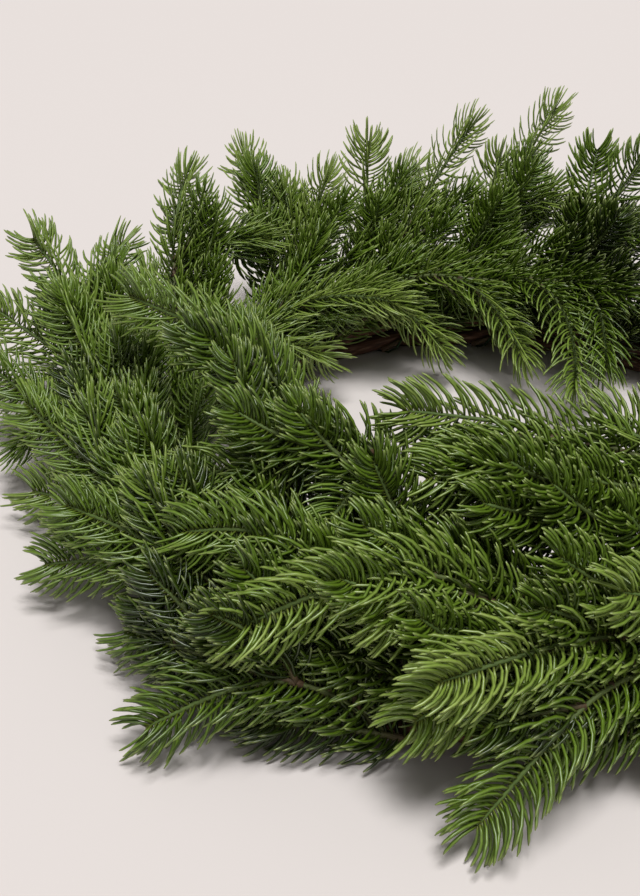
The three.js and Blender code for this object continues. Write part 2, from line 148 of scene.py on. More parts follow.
def bark_material():
    """Red-brown bark: dark in its furrows, pale on its ridges, in uneven patches."""
    material, nodes, links, shader = new_material("furrowed bark")
    furrows = add_grain(nodes, 90, 16)
    patches = add_grain(nodes, 14, 3)
    ramp = colour_steps(nodes, [(0.32, BARK_DARK), (0.5, BARK_BROWN), (0.72, BARK_PALE)])
    mix = nodes.new("ShaderNodeMix")
    mix.data_type = "RGBA"
    mix.blend_type = "MULTIPLY"
    mix.inputs["Factor"].default_value = 0.5
    links.new(furrows.outputs["Grain"], ramp.inputs["Fac"])
    links.new(ramp.outputs["Color"], mix.inputs["A"])
    links.new(patches.outputs["Grain"], mix.inputs["B"])
    links.new(mix.outputs["Result"], shader.inputs["Base Color"])
    bump = nodes.new("ShaderNodeBump")
    bump.inputs["Strength"].default_value = 0.6
    bump.inputs["Distance"].default_value = 0.0006
    links.new(furrows.outputs["Grain"], bump.inputs["Height"])
    links.new(bump.outputs["Normal"], shader.inputs["Normal"])
    shader.inputs["Roughness"].default_value = 0.8
    return material


def add_torus(name, sections, sides, radius):
    """A torus round the ring's centre, with its UV map named as the materials read it."""
    bpy.ops.object.select_all(action="DESELECT")
    bpy.ops.mesh.primitive_torus_add(
        location=(RING_CENTRE.x, RING_CENTRE.y, RING_HEIGHT),
        major_segments=sections,
        minor_segments=sides,
        major_radius=RING_RADIUS,
        minor_radius=radius,
        generate_uvs=True,
    )
    piece = bpy.context.object
    piece.name = name
    piece.data.uv_layers[0].name = "OFBake"
    bpy.ops.object.transform_apply(location=True, rotation=True, scale=True)
    bpy.ops.object.shade_smooth()
    return piece


def face_outwards(piece):
    """Turns every face of a closed piece outwards."""
    bpy.ops.object.select_all(action="DESELECT")
    bpy.context.view_layer.objects.active = piece
    piece.select_set(True)
    bpy.ops.object.mode_set(mode="EDIT")
    bpy.ops.mesh.select_all(action="SELECT")
    bpy.ops.mesh.normals_make_consistent(inside=False)
    bpy.ops.object.mode_set(mode="OBJECT")


def read_vertices(piece):
    """The places of a piece's vertices, one row each."""
    places = np.zeros(len(piece.data.vertices) * 3)
    piece.data.vertices.foreach_get("co", places)
    return places.reshape(-1, 3)


def write_vertices(piece, places):
    """Moves a piece's vertices to new places."""
    piece.data.vertices.foreach_set("co", places.ravel())
    piece.data.update()


def ring_coordinates(places):
    """Each point's angle round the ring, its radius and its height."""
    x = places[:, 0] - RING_CENTRE.x
    y = places[:, 1] - RING_CENTRE.y
    return np.arctan2(y, x), np.hypot(x, y), places[:, 2]


def from_ring(angle, radius, height):
    """Points in the frame from their angles round the ring, radii and heights."""
    x = RING_CENTRE.x + radius * np.cos(angle)
    y = RING_CENTRE.y + radius * np.sin(angle)
    return np.stack([x, y, height], axis=-1)


def twist_twig(piece, index):
    """Winds a plain torus round the ring's centre line and gives it bark and knots."""
    draw = np.random.default_rng(TWIG_SEED + index)
    angle, radius, height = ring_coordinates(read_vertices(piece))
    out = radius - RING_RADIUS
    up = height - RING_HEIGHT
    around = np.arctan2(up, out)
    relief = np.zeros(len(angle))
    for wave in range(FURROW_WAVES):
        ridges = 3 + 2 * wave
        lumps = 31 + 9 * wave
        phase = draw.uniform(0, 2 * math.pi, 3)
        slow = FURROW_WANDER * np.sin((4 + wave) * angle + phase[0])
        relief += np.cos(ridges * around + slow + phase[1]) / (1 + wave)
        relief += FURROW_LUMPS * np.cos(lumps * angle + phase[2])
    swell = -BARK_INSET + FURROW_DEPTH * relief / 2
    for _ in range(KNOTS_PER_TWIG):
        knot_angle, knot_around = draw.uniform(-math.pi, math.pi, 2)
        along = np.angle(np.exp(1j * (angle - knot_angle))) * RING_RADIUS / KNOT_LENGTH
        across = np.angle(np.exp(1j * (around - knot_around))) / KNOT_WIDTH
        swell += KNOT_HEIGHT * np.exp(-along**2 - across**2)
    thick = TWIG_RADIUS + np.minimum(swell, BARK_HIGHEST)
    twist = TWIG_TWISTS * angle + 2 * math.pi * index / 3 - math.pi / 2
    new_radius = RING_RADIUS + TWIG_OFFSET * np.cos(twist) + thick * np.cos(around)
    new_height = RING_HEIGHT + TWIG_OFFSET * np.sin(twist) + thick * np.sin(around)
    write_vertices(piece, from_ring(angle, new_radius, np.maximum(new_height, 0)))


grain_nodes = grain_group()
bark = bark_material()
for index, node in enumerate(TWIG_NAMES):
    twig = add_torus(f"twisted_twig_{index + 1}", TWIG_SECTIONS, TWIG_SIDES, TWIG_RADIUS)
    twist_twig(twig, index)
    face_outwards(twig)
    twig.data.materials.append(bark)
    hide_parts(node)
    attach(twig, "root")

# ---------------------------------------------------------------- the binding wire
# One length of thin green lacquered florist's wire, wound round the ring once for each
# station, over the butts of its three branches and pulled into the groove below.
STATIONS = 18
WIRE_RADIUS = 0.0007
WIRE_SIDES = 8
WIRE_SECTIONS = 36 * STATIONS
WIRE_OFFSET = 0.0119
WIRE_OVER_BUTTS = 0.0065
WIRE_INTO_GROOVE = 0.0037
WIRE_GREEN = (0.022, 0.060, 0.020, 1)
WIRE_WORN = (0.110, 0.120, 0.095, 1)


def wire_material():
    """Dark green lacquer, worn to the metal in small spots."""
    material, nodes, links, shader = new_material("lacquered wire")
    wear = add_grain(nodes, 900, 5)
    ramp = colour_steps(nodes, [(0.55, WIRE_GREEN), (0.75, WIRE_WORN)])
    links.new(wear.outputs["Grain"], ramp.inputs["Fac"])
    links.new(ramp.outputs["Color"], shader.inputs["Base Color"])
    shader.inputs["Roughness"].default_value = 0.35
    shader.inputs["Metallic"].default_value = 0.7
    return material


def wire_place(angle):
    """The wire's distance and direction from the ring's centre line."""
    around = STATIONS * angle + math.pi / 2
    over = WIRE_OVER_BUTTS * np.cos(around) ** 4
    under = WIRE_INTO_GROOVE * np.maximum(-np.sin(around), 0) ** 6
    return WIRE_OFFSET + over - under, around


wire = add_torus("florist_wire", WIRE_SECTIONS, WIRE_SIDES, WIRE_RADIUS)
angle, radius, height = ring_coordinates(read_vertices(wire))
section_turn = np.arctan2(height - RING_HEIGHT, radius - RING_RADIUS)
offset, around = wire_place(angle)
offset = offset + WIRE_RADIUS * np.sin(section_turn)
places = from_ring(
    angle,
    RING_RADIUS + offset * np.cos(around),
    RING_HEIGHT + offset * np.sin(around),
)
sideways = WIRE_RADIUS * np.cos(section_turn)
places[:, 0] -= sideways * np.sin(angle)
places[:, 1] += sideways * np.cos(angle)
write_vertices(wire, places)
face_outwards(wire)
wire.data.materials.append(wire_material())
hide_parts("binding_wire")
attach(wire, "root")

# ---------------------------------------------------------------- how the branches lie
# Fir branches cut a hand long or more, three at each station: one on the ring's outer
# side, one on top and one inside. All run the same way round, and most carry one side
# shoot. Bound in close together, their stems spring apart until they lie clear.
MM = 0.001

# Rows of [station, seat, leader's tip, side shoot's tip]. A tip is [degrees ahead of the
# station, radius, height], with the leader's arch and outward sway, in millimetres.
FRONT_BRANCHES = [
    [320, "outer", [40, 248, 40, 20, -6], [54, 238, 16]],
    [320, "top", [46, 232, 110, 14], [40, 244, 70]],
    [320, "inner", [36, 121, 130, 30, -14], [83, 134, 130]],
    [300, "outer", [39, 284, 14, 56]],
    [300, "top", [44, 264, 78, 34], [46, 258, 46]],
    [300, "inner", [53, 160, 110, 60, -34], [50, 160, 88]],
    [280, "outer", [47, 254, 14, 28, -8], [24, 236, 40]],
    [280, "top", [47, 258, 64, 60, -12], [33, 234, 78]],
    [280, "inner", [33, 204, 98, 30, -8], [22, 166, 56]],
    [260, "outer", [32, 292, 14, 34, 3], [46, 256, 16]],
    [260, "top", [42, 230, 76, 44, -10], [28, 234, 48]],
    [260, "inner", [56, 238, 60, 78, -62], [25, 186, 86]],
    [240, "outer", [40, 281, 22, 34, -8], [43, 264, 44]],
    [240, "top", [40, 264, 56, 20], [32, 218, 90]],
    [240, "inner", [66, 224, 130, 52, -58]],
]
LEFT_BRANCHES = [
    [220, "outer", [36, 286, 20, 20, -8], [27, 260, 20]],
    [220, "top", [44, 292, 60, 16], [36, 240, 84]],
    [220, "inner", [46, 168, 76, 20]],
    [200, "outer", [34, 338, 52, 10], [22, 304, 26]],
    [200, "top", [40, 294, 96, 8], [34, 240, 88]],
    [200, "inner", [44, 178, 60, 24]],
    [180, "outer", [21, 358, 72, 6], [12, 326, 34]],
    [180, "top", [26, 340, 116], [36, 302, 98]],
    [180, "inner", [51, 158, 30, 40]],
    [160, "outer", [20, 318, 66]],
    [160, "top", [26, 290, 140, 28, 20], [34, 238, 92]],
    [160, "inner", [52, 164, 60, 30]],
]
BACK_BRANCHES = [
    [140, "outer", [20, 336, 126], [27, 300, 78]],
    [140, "top", [28, 270, 124], [20, 278, 118]],
    [140, "inner", [43, 140, 26, 46]],
    [120, "outer", [15, 284, 142], [24, 304, 108]],
    [120, "top", [32, 302, 144], [24, 262, 100]],
    [120, "inner", [46, 124, 28, 50]],
    [100, "outer", [17, 286, 128], [24, 306, 72]],
    [100, "top", [23, 326, 152], [30, 260, 96]],
    [100, "inner", [47, 100, 28, 50]],
    [80, "outer", [10, 282, 138], [22, 296, 84]],
    [80, "top", [18, 274, 140], [27, 234, 94]],
    [80, "inner", [29, 136, 30, 48], [27, 178, 68]],
]
RIGHT_STATIONS = [60, 40, 20, 0, 340]

# Where a butt lies on the ring, and how its stem goes on and forks.
SEATS = {"outer": (0, 0.0141), "top": (90, 0.0090), "inner": (180, 0.0143)}
BUTT_LENGTH = 0.026
BUTT_TAPER = 0.006
BUTT_STEPS = 4
ROUTE_STEPS = 40
ROUTE_RISE = 1.2
BARE_LENGTH = 0.038
TIP_LENGTH = 0.012
SIDE_BARE_LENGTH = 0.014
NEEDLE_ROOT = 0.004
WHORL_PITCH = 0.026
FORK_AT = 0.36
FORK_BEND = 0.4
FORK_STOPS = 3

# Stems spring apart until they lie about this far from each other. A stem is held at its
# butt and moves freely further out.
STEM_SPACING = 0.017
BUTT_SPACING = 0.007
FORK_SPACING = 0.6
SPRING_ROUNDS = 60
PAIR_PUSH = 0.25
REST_PUSH = 0.5
HELD_LENGTH = 0.004
FREEING_LENGTH = 0.050
LOWEST_STEM = 0.0085
STEM_OFF_WIRE = 0.004
STEM_RADIUS = 0.002
KEEP_OFF_RING = WIRE_OFFSET + WIRE_OVER_BUTTS + WIRE_RADIUS + STEM_RADIUS + STEM_OFF_WIRE
PAIR_REACH = 0.07


def scatter(n):
    """Even scatter between 0 and 1, the same every time."""
    return (n * 0.61803398875 + 0.37) % 1


def varied(n, middle, span):
    """A whole number within half a span of its middle value."""
    return middle + math.floor((scatter(n) - 0.5) * span + 0.5)


def right_branches():
    """On the right the branches follow the same habit, each a little different."""
    rows = []
    for i, station in enumerate(RIGHT_STATIONS):
        n = 7 * i
        outer = [varied(n + 1, 30, 12), varied(n + 2, 308, 40), varied(n + 3, 44, 56), 6]
        outer_side = [varied(n + 4, 22, 8), varied(n + 5, 282, 20), 20]
        top = [varied(n + 6, 30, 14), varied(n + 7, 278, 40), varied(n + 8, 116, 34)]
        top_side = [varied(n + 9, 32, 8), varied(n + 10, 234, 24), varied(n + 11, 88, 20)]
        inner = [varied(n + 12, 44, 10), varied(n + 13, 144, 24), varied(n + 14, 50, 50), 40]
        rows.append([station, "outer", outer, outer_side])
        rows.append([station, "top", top, top_side])
        rows.append([station, "inner", inner])
    return rows


def on_ring(degrees, radius, height):
    """A point round the ring's centre, which is the origin here."""
    turn = np.radians(degrees)
    return np.stack([radius * np.cos(turn), radius * np.sin(turn), height + 0 * turn], axis=-1)


def along_line(line):
    """How far along a line each of its points lies."""
    steps = np.linalg.norm(np.diff(line, axis=0), axis=1)
    return np.concatenate([[0], np.cumsum(steps)])


def line_at(line, distances):
    """Points of a line at distances along it."""
    places = along_line(line)
    return np.stack([np.interp(distances, places, line[:, k]) for k in range(3)], axis=-1)


def leader_route(station, seat, tip):
    """A butt that winds with the twigs under the wire, then one long bend to the tip."""
    ahead, radius, height, arch, sway = (tip + [0, 0])[:5]
    seat_angle, seat_offset = SEATS[seat]
    middle = station + (seat_angle - 90) / STATIONS
    half_butt = math.degrees(BUTT_LENGTH / 2 / RING_RADIUS)
    along = half_butt * (1 - 2 * np.arange(BUTT_STEPS + 1) / BUTT_STEPS)
    around = np.radians(seat_angle + TWIG_TWISTS * along)
    butt = on_ring(
        middle + along,
        RING_RADIUS + seat_offset * np.cos(around),
        RING_HEIGHT + seat_offset * np.sin(around),
    )
    exit_radius = math.hypot(butt[-1, 0], butt[-1, 1])
    exit_height = butt[-1, 2]
    start = middle - half_butt
    u = np.arange(1, ROUTE_STEPS + 1) / ROUTE_STEPS
    bow = np.sin(math.pi * u)
    bend = on_ring(
        start - (start - station + ahead) * u,
        exit_radius + (radius * MM - exit_radius) * u**2 + sway * MM * bow,
        exit_height + (height * MM - exit_height) * u**ROUTE_RISE + arch * MM * bow,
    )
    return np.concatenate([butt, bend])


def side_route(leader, distance, station, tip):
    """A side shoot leaves the leader along its own direction and bends to its tip."""
    start = line_at(leader, distance)
    end = on_ring(station - tip[0], tip[1] * MM, tip[2] * MM)
    lead = line_at(leader, distance + 0.5 * MM) - line_at(leader, distance - 0.5 * MM)
    reach = np.linalg.norm(end - start) * FORK_BEND
    middle = start + lead / np.linalg.norm(lead) * reach
    u = np.linspace(0, 1, 2 * ROUTE_STEPS)[:, None]
    return (1 - u) ** 2 * start + 2 * u * (1 - u) * middle + u**2 * end


def whorl_stops(length, bare):
    """Where the whorls of needles begin and end along a stem, short of its tip."""
    needled = length - TIP_LENGTH - bare - NEEDLE_ROOT
    whorls = max(3, math.floor(needled / WHORL_PITCH + 0.5) + 1)
    begins = bare + np.arange(whorls) * needled / (whorls - 1)
    return np.stack([begins, begins + NEEDLE_ROOT], axis=-1).ravel()


def make_stem(station, seat, route, bare, first_stops, butt):
    """A stem on its route, with the stops where it can be pushed, held at its butt."""
    length = along_line(route)[-1]
    stops = np.concatenate([first_stops, whorl_stops(length, bare)])
    freedom = np.clip((stops - butt - HELD_LENGTH) / FREEING_LENGTH, 0, 1)
    return {
        "station": station,
        "seat": seat,
        "route": route,
        "length": length,
        "stops": stops,
        "places": line_at(route, stops),
        "shift": np.zeros((len(stops), 3)),
        "freedom": freedom,
        "parent": None,
        "fork": 0,
    }


def lay_stems():
    """The leader and the side shoots of every branch, on their routes."""
    stems = []
    rows = FRONT_BRANCHES + LEFT_BRANCHES + BACK_BRANCHES + right_branches()
    for station, seat, tip, *side_tips in rows:
        route = leader_route(station, seat, tip)
        butt_stops = [0, BUTT_LENGTH - BUTT_TAPER, BUTT_LENGTH]
        leader = make_stem(station, seat, route, BARE_LENGTH, butt_stops, BUTT_LENGTH)
        stems.append(leader)
        for side_tip in side_tips:
            whorls = (len(leader["stops"]) - len(butt_stops)) // 2
            fork = len(butt_stops) + 2 * math.floor(FORK_AT * whorls + 0.5)
            side_line = side_route(route, leader["stops"][fork], station, side_tip)
            side = make_stem(station, seat, side_line, SIDE_BARE_LENGTH, [0], 0)
            side["parent"] = leader
            side["fork"] = fork
            stems.append(side)
    return stems


def joined(stems, key):
    """One of the stems' arrays, all stems in a row."""
    return np.concatenate([stem[key] for stem in stems])


def repeated(stems, values):
    """A value of each stem, repeated for each of its stops."""
    return np.repeat(values, [len(stem["stops"]) for stem in stems])


def spring_apart(stems):
    """Stems spring apart, off the wire and off the ground, each staying smooth."""
    start = joined(stems, "places")
    freedom = joined(stems, "freedom")
    owner = repeated(stems, np.arange(len(stems)))
    branch = repeated(stems, [f"{stem['seat']} {stem['station']}" for stem in stems])
    near_fork = np.concatenate(
        [(np.arange(len(s["stops"])) < FORK_STOPS) & (s["parent"] is not None) for s in stems]
    )
    gaps = np.linalg.norm(start[:, None] - start[None], axis=2)
    first, second = np.nonzero((gaps < PAIR_REACH) & (owner[:, None] < owner[None]))
    reach = np.minimum(freedom[first], freedom[second])
    wanted = BUTT_SPACING + (STEM_SPACING - BUTT_SPACING) * reach
    wanted[branch[first] == branch[second]] *= FORK_SPACING
    ends = np.cumsum([len(s["stops"]) for s in stems])
    for _ in range(SPRING_ROUNDS):
        places = start + joined(stems, "shift")
        push = np.zeros_like(places)
        gap = places[first] - places[second]
        distance = np.maximum(np.linalg.norm(gap, axis=1), 1e-9)
        strength = PAIR_PUSH * np.maximum(wanted - distance, 0) / distance
        np.add.at(push, first, gap * strength[:, None])
        np.add.at(push, second, -gap * strength[:, None])
        degrees = np.degrees(np.arctan2(places[:, 1], places[:, 0]))
        off = places - on_ring(degrees, RING_RADIUS, RING_HEIGHT)
        off_length = np.linalg.norm(off, axis=1)
        short = np.maximum(KEEP_OFF_RING * freedom - off_length, 0) * ~near_fork
        push += off * (short / off_length * REST_PUSH)[:, None]
        push[:, 2] += np.maximum(LOWEST_STEM - places[:, 2], 0) * REST_PUSH
        moved = push * freedom[:, None]
        for stem, end in zip(stems, ends):
            stem["shift"] = stem["shift"] + moved[end - len(stem["stops"]) : end]
        for stem in stems:
            smooth_shift(stem)


def smooth_shift(stem):
    """Evens out how far a stem's stops have moved, its own foot moving as its parent does."""
    before = stem["shift"].copy()
    if stem["parent"] is not None:
        before[0] = stem["parent"]["shift"][stem["fork"]]
    after = np.concatenate([before[2:], before[-1:]])
    smooth = before.copy()
    smooth[1:] = before[1:] * 0.5 + (before[:-1] + after) * 0.25
    stem["shift"] = smooth


stems = lay_stems()
spring_apart(stems)

# ---------------------------------------------------------------- stems and needles
# Each branch is a thin woody stem, brown at its cut butt and green towards the tip. Flat
# waxy needles stand out all round it, bent forwards, closer together and lying more along
# the stem at the tip. Needles and side shoot grew from the stem, so a branch is one piece.
NEEDLE_SEED = 7
LINE_STEP = 0.002
TIP_BEYOND = 0.007
SMOOTH_PASSES = 6
STEM_SIDES = 7
STEM_SECTIONS = 36
STEM_TIP_RADIUS = 0.0009
STEM_TAPER = 0.8
STEM_END_SHARP = 24
STEM_END_BLUNT = 0.25
STEM_ROUGH = 0.08

# Needles stand in rows round their stem. A shoot's face is the side it turns up and out
# from the ring, where its needles part along the stem and curl over like claws.
NEEDLE_ROWS = 6
ROW_PITCH = 0.0055
ROW_WANDER = 0.13
PARTING = 0.34
FIRST_NEEDLE = 0.030
SIDE_FIRST_NEEDLE = 0.004
BRUSH_TIP = 0.020
BRUSH_CURVE = 1.5
LAST_NEEDLE = 0.001
NEEDLE_LENGTH = 0.0258
LENGTH_SCATTER = 0.07
TIP_SHORTER = 0.30
NEEDLE_HALF_WIDTH = 0.00098
NEEDLE_HALF_THICK = 0.00062
NEEDLE_SIDES = 3
NEEDLE_CUTS = [0.2, 0.45, 0.7, 0.92]
NEEDLE_OUTLINE = [0.6, 0.9, 1, 0.98, 0.8, 0.25]
BASE_LEAN = 74
CURLED_LEAN = 92
TIP_LEAN = 54
LEAN_SCATTER = 4
BASE_BEND = 48
CURLED_BEND = 84
TIP_BEND = 56
BEND_SCATTER = 5
CLAW = 0.4
CURLED_WIDER = 0.15
FACE_SQUEEZE = 0.64
ROLL_SCATTER = 0.3
NEEDLE_FOOT_ENDS = 0.15
RING_CLEARANCE = 0.0125
FLOOR_CLEARANCE = 0.0006

# Small twigs fill each branch out, on alternate hands and towards the wreath's body.
TWIG_STEM_SIDES = 5
TWIG_STEM_SECTIONS = 16
TWIG_POINTS = 30
FIRST_TWIG = 0.022
TWIG_PITCH = 0.0170
SHORTEST_TWIG = 0.036
TWIG_REACH = 0.074
TWIG_REACH_SPAN = (0.85, 1.1)
TWIG_SPREAD = (10, 75)
TWIG_LEAN = (50, 6)
TWIG_BEND_AT = 0.45
TWIG_FORWARDS = 0.86
TWIG_OUTWARDS = 0.46
TWIG_NEEDLES = 0.86
TWIG_ENDS_AT = 0.78
BUSHY_ENDS_AT = 0.9
BODY_RADIUS = 0.200
BODY_HEIGHT = 0.055
BODY_AHEAD = 12
TWIG_OFF_RING = 0.022
HOLE_RADIUS = 0.132
TWIG_INTO_HOLE = 0.006

# What sets single branches apart, by seat and station: how far their twigs reach along
# them, how far all their needles curl, and how much lighter or darker their needles are,
# partly each branch's own tone and partly painted light and shade, darkest at the back right.
BUSHY = {
    "outer": [320, 300, 280, 260, 180, 160, 140],
    "top": [160, 140],
    "inner": [320, 300, 280, 180, 160, 140, 120],
}
CURLED = {
    "outer": {300: 0.4},
    "top": {320: 0.6, 300: 1, 280: 1, 260: 0.5},
    "inner": {300: 0.5, 280: 0.7},
}
# Each branch's needles lighter or darker: its own tone mixed with painted light and shade.
TONE_AND_PAINTED_LIGHT = {
    "outer": {
        320: -0.04, 300: -0.06, 280: -0.20, 260: -0.18, 240: -0.12, 180: 0.22, 140: 0.22,
        120: 0.30, 100: 0.28, 80: -0.14, 60: -0.12,
    },
    "top": {
        320: 0.16, 300: 0.20, 280: 0.22, 260: 0.16, 200: 0.08, 180: 0.22, 160: 0.18,
        140: 0.26, 120: 0.28, 100: 0.24, 80: -0.22, 60: -0.20, 40: -0.10,
    },
    "inner": {
        320: 0.08, 300: 0.24, 260: 0.10, 240: 0.10, 180: 0.20, 160: 0.26, 140: 0.24,
        120: 0.20, 100: 0.12, 80: -0.32, 60: -0.20,
    },
}
LEADER_TONE = 0.46
BRANCH_TONE_SCATTER = 0.07
NEEDLE_TONE_SCATTER = 0.08
# How much darker the twigs' needles are painted: partly their own tone, partly painted shade
# inside the wreath.
TWIG_TONE_AND_PAINTED_SHADE = 0.35
# Needles lighter towards a shoot's tip and darker at its base: partly the tips' own paler
# tone, partly painted shade deep in the wreath.
TIP_TONE_AND_PAINTED_SHADE = 0.28

# Where stems and needles lie on the UV map: from this place across, this wide.
STEM_STRIP = (0.86, 0.12)
NEEDLE_STRIP = (0.02, 0.78)
STRIP_FOOT = 0.02
STRIP_LENGTH = 0.96

NEEDLE_TONES = [
    (0.0, (0.024, 0.044, 0.002, 1)),
    (0.3, (0.082, 0.144, 0.008, 1)),
    (0.6, (0.125, 0.205, 0.020, 1)),
    (1.0, (0.235, 0.320, 0.060, 1)),
]
NEEDLE_TIP = (0.330, 0.400, 0.120, 1)
NEEDLE_FOOT = (0.110, 0.110, 0.020, 1)
STEM_TONES = [
    (0.0, (0.075, 0.036, 0.018, 1)),
    (0.25, (0.070, 0.075, 0.020, 1)),
    (1.0, (0.080, 0.140, 0.022, 1)),
]


def needle_material():
    """Waxy green, one tone a needle, with a brownish foot and a pale tip."""
    material, nodes, links, shader = new_material("fir needle")
    uv_map = nodes.new("ShaderNodeUVMap")
    uv_map.uv_map = "OFBake"
    split = nodes.new("ShaderNodeSeparateXYZ")
    tone = nodes.new("ShaderNodeMapRange")
    tone.inputs["From Min"].default_value = NEEDLE_STRIP[0]
    tone.inputs["From Max"].default_value = NEEDLE_STRIP[0] + NEEDLE_STRIP[1]
    tones = colour_steps(nodes, NEEDLE_TONES)
    white, black = (1, 1, 1, 1), (0, 0, 0, 1)
    tip = colour_steps(nodes, [(0.80, black), (0.98, (0.6, 0.6, 0.6, 1))])
    foot = colour_steps(nodes, [(0.02, white), (0.16, black)])
    with_tip = nodes.new("ShaderNodeMix")
    with_foot = nodes.new("ShaderNodeMix")
    mottle = add_grain(nodes, 260, 9)
    mottled = nodes.new("ShaderNodeMix")
    for mix in (with_tip, with_foot, mottled):
        mix.data_type = "RGBA"
    mottled.blend_type = "OVERLAY"
    mottled.inputs["Factor"].default_value = 0.45
    with_tip.inputs["B"].default_value = NEEDLE_TIP
    with_foot.inputs["B"].default_value = NEEDLE_FOOT
    links.new(uv_map.outputs["UV"], split.inputs["Vector"])
    links.new(split.outputs["X"], tone.inputs["Value"])
    links.new(tone.outputs["Result"], tones.inputs["Fac"])
    links.new(split.outputs["Y"], tip.inputs["Fac"])
    links.new(split.outputs["Y"], foot.inputs["Fac"])
    links.new(tones.outputs["Color"], with_tip.inputs["A"])
    links.new(tip.outputs["Color"], with_tip.inputs["Factor"])
    links.new(with_tip.outputs["Result"], with_foot.inputs["A"])
    links.new(foot.outputs["Color"], with_foot.inputs["Factor"])
    links.new(with_foot.outputs["Result"], mottled.inputs["A"])
    links.new(mottle.outputs["Grain"], mottled.inputs["B"])
    links.new(mottled.outputs["Result"], shader.inputs["Base Color"])
    shader.inputs["Roughness"].default_value = 0.34
    shader.inputs["Specular IOR Level"].default_value = 0.60
    return material


def stem_material():
    """Young bark: brown at the butt, green at the tip, with small scars."""
    material, nodes, links, shader = new_material("young bark")
    uv_map = nodes.new("ShaderNodeUVMap")
    uv_map.uv_map = "OFBake"
    split = nodes.new("ShaderNodeSeparateXYZ")
    tones = colour_steps(nodes, STEM_TONES)
    scars = add_grain(nodes, 60, 70)
    mix = nodes.new("ShaderNodeMix")
    mix.data_type = "RGBA"
    mix.blend_type = "OVERLAY"
    mix.inputs["Factor"].default_value = 0.8
    bump = nodes.new("ShaderNodeBump")
    bump.inputs["Strength"].default_value = 0.5
    bump.inputs["Distance"].default_value = 0.0004
    links.new(uv_map.outputs["UV"], split.inputs["Vector"])
    links.new(split.outputs["Y"], tones.inputs["Fac"])
    links.new(tones.outputs["Color"], mix.inputs["A"])
    links.new(scars.outputs["Grain"], mix.inputs["B"])
    links.new(mix.outputs["Result"], shader.inputs["Base Color"])
    links.new(scars.outputs["Grain"], bump.inputs["Height"])
    links.new(bump.outputs["Normal"], shader.inputs["Normal"])
    shader.inputs["Roughness"].default_value = 0.7
    return material


def straight_stick(sides, cuts):
    """A closed stick one unit long and one in radius, cut across at the given places."""
    bpy.ops.object.select_all(action="DESELECT")
    bpy.ops.mesh.primitive_cylinder_add(
        vertices=sides, radius=1, depth=1, end_fill_type="NGON", location=(0, 0, 0.5)
    )
    stick = bpy.context.object
    bpy.ops.object.transform_apply(location=True, rotation=True, scale=True)
    bpy.ops.object.mode_set(mode="EDIT")
    for cut in cuts:
        bpy.ops.mesh.select_all(action="SELECT")
        bpy.ops.mesh.bisect(plane_co=(0, 0, cut), plane_no=(0, 0, 1))
    bpy.ops.object.mode_set(mode="OBJECT")
    return stick


def shape_of(stick):
    """A stick's points and its faces, as arrays, and the stick itself is cleared away."""
    places = read_vertices(stick)
    corners = np.zeros(len(stick.data.loops), dtype=np.int32)
    sizes = np.zeros(len(stick.data.polygons), dtype=np.int32)
    stick.data.loops.foreach_get("vertex_index", corners)
    stick.data.polygons.foreach_get("loop_total", sizes)
    bpy.data.objects.remove(stick)
    return places, corners, sizes


def centre_line(stem):
    """The stem's sprung line at short even steps, a little past its last whorl."""
    whorled = stem["length"] - TIP_LENGTH
    distances = np.linspace(0, whorled, int(whorled / LINE_STEP) + 2)
    line = line_at(stem["route"], distances)
    for k in range(3):
        line[:, k] += np.interp(distances, stem["stops"], stem["shift"][:, k])
    for _ in range(SMOOTH_PASSES):
        line[1:-1] = line[1:-1] * 0.5 + (line[:-2] + line[2:]) * 0.25
    ahead = line[-1] - line[-4]
    beyond = line[-1] + ahead / np.linalg.norm(ahead) * TIP_BEYOND
    return np.concatenate([line, [beyond]])


def frames_along(line):
    """Directions along and across a line, turned along it without twist."""
    along = np.gradient(line, axis=0)
    along /= np.linalg.norm(along, axis=1)[:, None]
    across = np.zeros_like(along)
    current = np.array([0.0, 0.0, 1.0])
    for i, direction in enumerate(along):
        current = current - direction * current.dot(direction)
        current /= np.linalg.norm(current)
        across[i] = current
    return along, across, np.cross(along, across)


def side_twigs(line, frames, bushy, draw):
    """Short twigs that leave a stem to either side and bend forwards beside it."""
    ends = along_line(line)[-1] * (BUSHY_ENDS_AT if bushy else TWIG_ENDS_AT)
    hand = draw.choice([-1, 1])
    twigs = []
    for at in np.arange(FIRST_TWIG, ends - SHORTEST_TWIG, TWIG_PITCH):
        hand = -hand
        start, along, _, _ = frame_at(line, frames, at)
        degrees = math.degrees(math.atan2(start[1], start[0]))
        inwards = on_ring(degrees - BODY_AHEAD, BODY_RADIUS, BODY_HEIGHT) - start
        inwards -= along * inwards.dot(along)
        inwards /= np.linalg.norm(inwards)
        around = math.radians(hand * draw.uniform(*TWIG_SPREAD))
        out = inwards * math.cos(around) + np.cross(along, inwards) * math.sin(around)
        reach = min(TWIG_REACH, ends - at) * draw.uniform(*TWIG_REACH_SPAN)
        lean = math.radians(draw.normal(*TWIG_LEAN))
        first = along * math.cos(lean) + out * math.sin(lean)
        end = start + reach * (TWIG_FORWARDS * along + TWIG_OUTWARDS * out)
        middle = start + first * reach * TWIG_BEND_AT
        u = np.linspace(0, 1, TWIG_POINTS)[:, None]
        twig = (1 - u) ** 2 * start + 2 * u * (1 - u) * middle + u**2 * end
        innermost = max(HOLE_RADIUS, math.hypot(start[0], start[1]) - TWIG_INTO_HOLE)
        twigs.append(kept_clear(twig, innermost))
    return twigs


